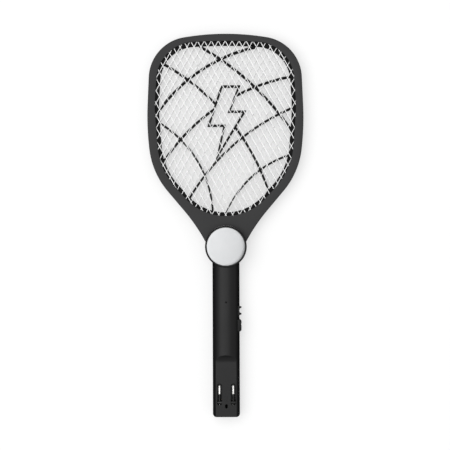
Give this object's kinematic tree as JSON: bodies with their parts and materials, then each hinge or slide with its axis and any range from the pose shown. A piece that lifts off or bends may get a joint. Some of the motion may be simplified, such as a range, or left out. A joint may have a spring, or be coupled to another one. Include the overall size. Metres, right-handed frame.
{
  "type": "electric fly swatter",
  "caption": "Rechargeable electric fly swatter: racket head with expanded-metal nets over a charged grid, tube handle with slide switch, push button and fold-out mains plug.",
  "frame": {"origin": "on the resting plane, under the middle of the racket's length and width, with the racket lying on its back", "axes": "+Y along the racket from the butt end to the top of the head, +Z out of the front face, +X to the right seen from the front, the side with the slide switch and the button"},
  "size_m": [0.216, 0.53, 0.034],
  "materials": {
    "frame_plastic": "fine-grained satin",
    "guard_plastic": "matt",
    "shell_plastic": "fine-grained satin",
    "control_plastic": "satin",
    "bezel_plastic": "gloss",
    "insulator_plastic": "satin",
    "switch_plastic": "matt",
    "net_metal": "bright",
    "grid_metal": "satin",
    "badge_metal": "radially brushed",
    "pin_metal": "bright nickel plate",
    "screw_steel": "zinc plated",
    "spring_steel": "bright",
    "contact_brass": "satin",
    "board_laminate": "paper laminate",
    "ferrite": "matt",
    "copper_winding": "enamelled copper wire",
    "component_dark": "moulded epoxy",
    "component_red": "dipped epoxy",
    "component_blue": "dipped epoxy",
    "resistor_body": "lacquer",
    "cell_wrap": "shrink film over a steel can",
    "led_red": "clear tinted",
    "window_dark": "smoked",
    "wire_insulation": "satin"
  },
  "bodies": {
    "root": {"front_frame": "frame_plastic", "rear_frame": "frame_plastic", "front_net": "net_metal", "rear_net": "net_metal", "charged_grid": "grid_metal", "front_guard": "guard_plastic", "rear_guard": "guard_plastic", "frame_screws": "screw_steel", "front_handle_shell": "shell_plastic", "rear_handle_shell": "shell_plastic", "handle_screws": "screw_steel", "badge_bezel": "bezel_plastic", "badge_disc": "badge_metal", "power_switch_body": "component_dark", "zap_switch_body": "component_dark", "plug_contacts": "contact_brass", "plug_detent_spring": "spring_steel", "charger_board": "board_laminate", "dropper_capacitor": "component_red", "charger_diodes": "component_dark", "charger_resistor": "resistor_body", "charge_light_window": "window_dark", "charge_led": "led_red", "cells": "cell_wrap", "cell_tabs": "spring_steel", "main_board": "board_laminate", "board_screws": "screw_steel", "transformer_core": "ferrite", "transformer_bobbin": "component_dark", "transformer_winding": "copper_winding", "storage_capacitor": "component_red", "multiplier_diodes": "component_dark", "multiplier_capacitors": "component_blue", "drive_transistor": "component_dark", "board_resistors": "resistor_body", "power_led": "led_red", "power_light_pipe": "window_dark", "grid_leads": "wire_insulation", "battery_leads": "wire_insulation", "charge_leads": "wire_insulation"},
    "power_slide": {"power_slide_knob": "control_plastic", "power_switch_peg": "switch_plastic"},
    "zap_button": {"zap_button_cap": "control_plastic", "zap_switch_plunger": "switch_plastic"},
    "plug": {"plug_carrier": "insulator_plastic", "plug_pins": "pin_metal", "pin_sleeves": "insulator_plastic"}
  },
  "joints": [
    {"name": "power_slide_travel", "type": "slide", "parent": "root", "child": "power_slide", "axis": [0, -1, 0], "range_m": [0, 0.0035]},
    {"name": "zap_press", "type": "slide", "parent": "root", "child": "zap_button", "axis": [-1, 0, 0], "range_m": [0, 0.0018], "stiffness_N_per_m": 500, "springref_m": -0.0005},
    {"name": "plug_fold", "type": "hinge", "parent": "root", "child": "plug", "pos_m": [0, -0.2455, 0.0212], "axis": [1, 0, 0], "range_deg": [0, 90]}
  ]
}
